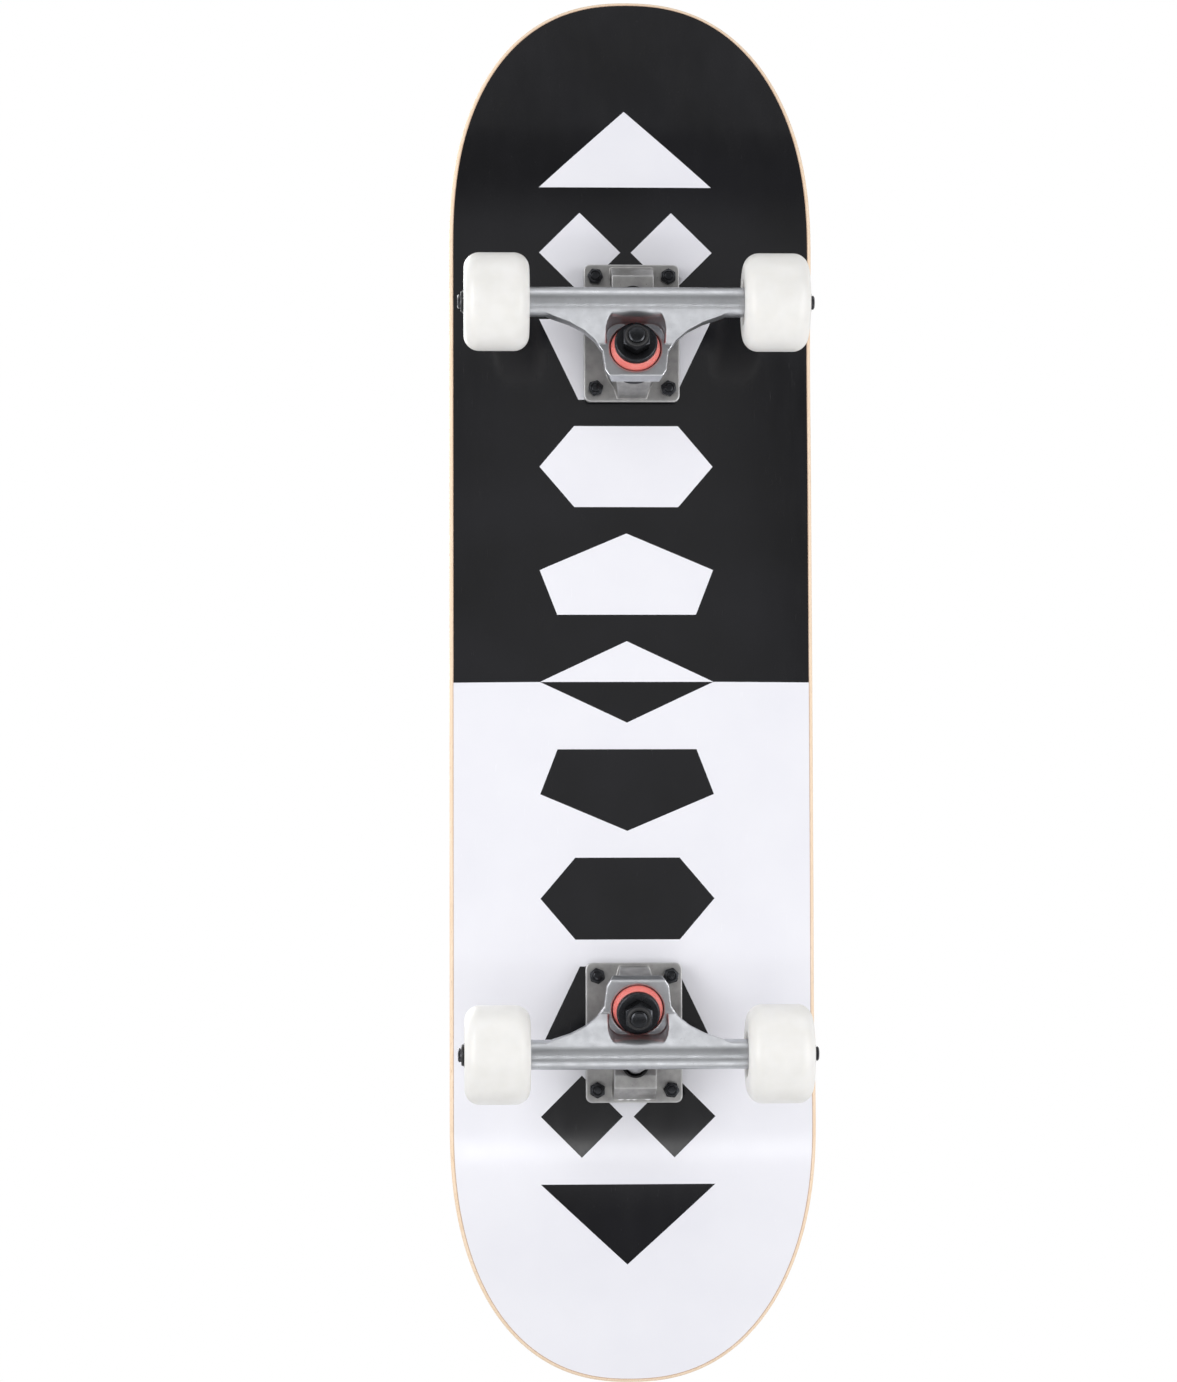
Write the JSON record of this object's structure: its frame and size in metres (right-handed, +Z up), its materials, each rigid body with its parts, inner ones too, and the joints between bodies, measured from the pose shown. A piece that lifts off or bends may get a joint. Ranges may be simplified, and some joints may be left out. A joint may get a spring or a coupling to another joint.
{
  "type": "skateboard",
  "caption": "Popsicle skateboard with a concave laminated maple deck, grip tape, sprung steering trucks and free-spinning urethane wheels.",
  "frame": {"origin": "on the ground, under the middle of the board", "axes": "+X towards the nose, +Y to the left when facing the nose, +Z up"},
  "size_m": [0.794, 0.206, 0.1322],
  "materials": {
    "maple": "satin",
    "grip": "matte",
    "cast_aluminium": "satin",
    "hanger_aluminium": "satin",
    "axle_steel": "satin",
    "black_steel": "satin",
    "black_rubber": "matte",
    "salmon_urethane": "satin",
    "white_urethane": "satin",
    "bearing_shield": "satin"
  },
  "bodies": {
    "board": {"deck": "maple", "grip_tape": "grip", "front_riser_pad": "black_rubber", "front_baseplate": "cast_aluminium", "front_pivot_cup": "black_rubber", "front_kingpin": "black_steel", "front_boardside_washer": "black_steel", "front_boardside_bushing": "salmon_urethane", "front_roadside_bushing": "salmon_urethane", "front_roadside_washer": "black_steel", "front_kingpin_nut": "black_steel", "front_bolt_1": "black_steel", "front_bolt_2": "black_steel", "front_bolt_3": "black_steel", "front_bolt_4": "black_steel", "front_lock_nut_1": "black_steel", "front_lock_nut_2": "black_steel", "front_lock_nut_3": "black_steel", "front_lock_nut_4": "black_steel", "rear_riser_pad": "black_rubber", "rear_baseplate": "cast_aluminium", "rear_pivot_cup": "black_rubber", "rear_kingpin": "black_steel", "rear_boardside_washer": "black_steel", "rear_boardside_bushing": "salmon_urethane", "rear_roadside_bushing": "salmon_urethane", "rear_roadside_washer": "black_steel", "rear_kingpin_nut": "black_steel", "rear_bolt_1": "black_steel", "rear_bolt_2": "black_steel", "rear_bolt_3": "black_steel", "rear_bolt_4": "black_steel", "rear_lock_nut_1": "black_steel", "rear_lock_nut_2": "black_steel", "rear_lock_nut_3": "black_steel", "rear_lock_nut_4": "black_steel"},
    "front_hanger_set": {"front_hanger": "hanger_aluminium", "front_axle": "axle_steel", "front_left_bearing_spacer": "axle_steel", "front_left_axle_nut": "black_steel", "front_right_bearing_spacer": "axle_steel", "front_right_axle_nut": "black_steel"},
    "rear_hanger_set": {"rear_hanger": "hanger_aluminium", "rear_axle": "axle_steel", "rear_left_bearing_spacer": "axle_steel", "rear_left_axle_nut": "black_steel", "rear_right_bearing_spacer": "axle_steel", "rear_right_axle_nut": "black_steel"},
    "front_left_wheel_set": {"front_left_wheel": "white_urethane", "front_left_inner_bearing": "bearing_shield", "front_left_outer_bearing": "bearing_shield"},
    "front_right_wheel_set": {"front_right_wheel": "white_urethane", "front_right_inner_bearing": "bearing_shield", "front_right_outer_bearing": "bearing_shield"},
    "rear_left_wheel_set": {"rear_left_wheel": "white_urethane", "rear_left_inner_bearing": "bearing_shield", "rear_left_outer_bearing": "bearing_shield"},
    "rear_right_wheel_set": {"rear_right_wheel": "white_urethane", "rear_right_inner_bearing": "bearing_shield", "rear_right_outer_bearing": "bearing_shield"}
  },
  "joints": [
    {"name": "front_steer", "type": "hinge", "parent": "board", "child": "front_hanger_set", "pos_m": [0.18117, 0, 0.03871], "axis": [0.7626, 0, 0.6469], "range_deg": [-15, 15], "stiffness_Nm_per_rad": 30, "deforming": ["front_boardside_bushing", "front_roadside_bushing", "front_pivot_cup"]},
    {"name": "rear_steer", "type": "hinge", "parent": "board", "child": "rear_hanger_set", "pos_m": [-0.18117, 0, 0.03871], "axis": [-0.7626, 0, 0.6469], "range_deg": [-15, 15], "stiffness_Nm_per_rad": 30, "deforming": ["rear_boardside_bushing", "rear_roadside_bushing", "rear_pivot_cup"]},
    {"name": "front_left_wheel_spin", "type": "hinge", "parent": "front_hanger_set", "child": "front_left_wheel_set", "pos_m": [0.20645, 0.077, 0.027], "axis": [0, 1, 0], "continuous": true},
    {"name": "front_right_wheel_spin", "type": "hinge", "parent": "front_hanger_set", "child": "front_right_wheel_set", "pos_m": [0.20645, -0.077, 0.027], "axis": [0, 1, 0], "continuous": true},
    {"name": "rear_left_wheel_spin", "type": "hinge", "parent": "rear_hanger_set", "child": "rear_left_wheel_set", "pos_m": [-0.20645, 0.077, 0.027], "axis": [0, 1, 0], "continuous": true},
    {"name": "rear_right_wheel_spin", "type": "hinge", "parent": "rear_hanger_set", "child": "rear_right_wheel_set", "pos_m": [-0.20645, -0.077, 0.027], "axis": [0, 1, 0], "continuous": true}
  ]
}
